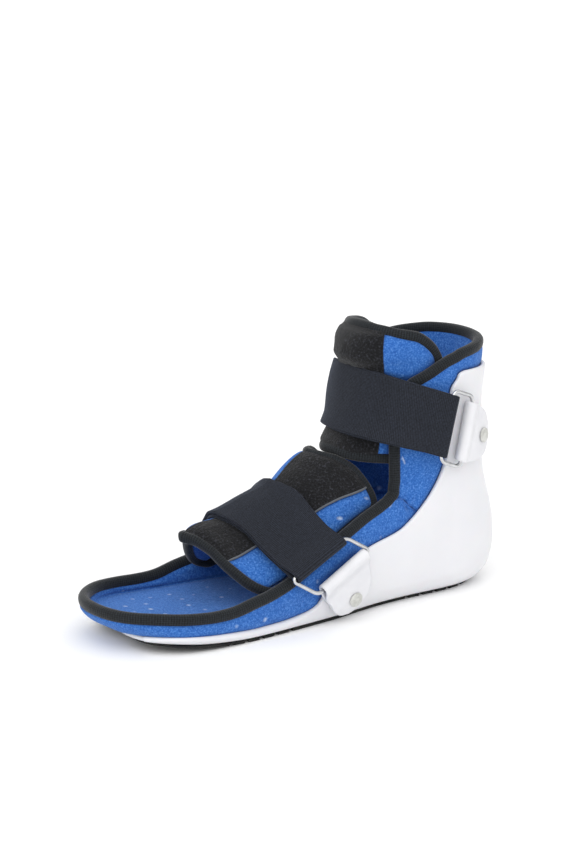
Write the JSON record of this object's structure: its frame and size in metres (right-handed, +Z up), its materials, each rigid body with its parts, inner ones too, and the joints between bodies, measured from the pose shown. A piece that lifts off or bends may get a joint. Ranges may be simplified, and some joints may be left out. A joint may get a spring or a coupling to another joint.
{
  "type": "walking boot",
  "caption": "Short rigid-shell walking boot with a padded liner, instep and shin pads, and elastic straps through wire rings.",
  "frame": {"origin": "middle of the boot's footprint, on the ground under the sole", "axes": "+X from the toes towards the heel, -Y towards the little-toe side, +Z up"},
  "size_m": [0.2858, 0.1112, 0.1731],
  "materials": {
    "shell": "satin moulded",
    "rubber": "matt",
    "liner": "brushed pile over foam",
    "binding": "knitted",
    "loop": "fuzzy loop pile",
    "strap": "ribbed elastic",
    "wire": "polished",
    "tab": "smooth",
    "rivet": "satin"
  },
  "bodies": {
    "root": {"shell": "shell", "outsole": "rubber", "liner_foot": "liner", "liner_collar": "liner", "edge_binding": "binding", "shin_pad": "liner", "shin_pad_binding": "binding", "shin_loop_patch": "loop", "instep_pad": "liner", "instep_pad_binding": "binding", "instep_loop_patch": "loop", "ankle_strap": "strap", "instep_strap": "strap", "ankle_ring": "wire", "instep_ring": "wire", "ankle_ring_tab": "tab", "instep_ring_tab": "tab", "ankle_tab_rivet": "rivet", "instep_tab_rivet": "rivet", "ankle_strap_rivet": "rivet", "instep_strap_rivet": "rivet"}
  },
  "joints": []
}
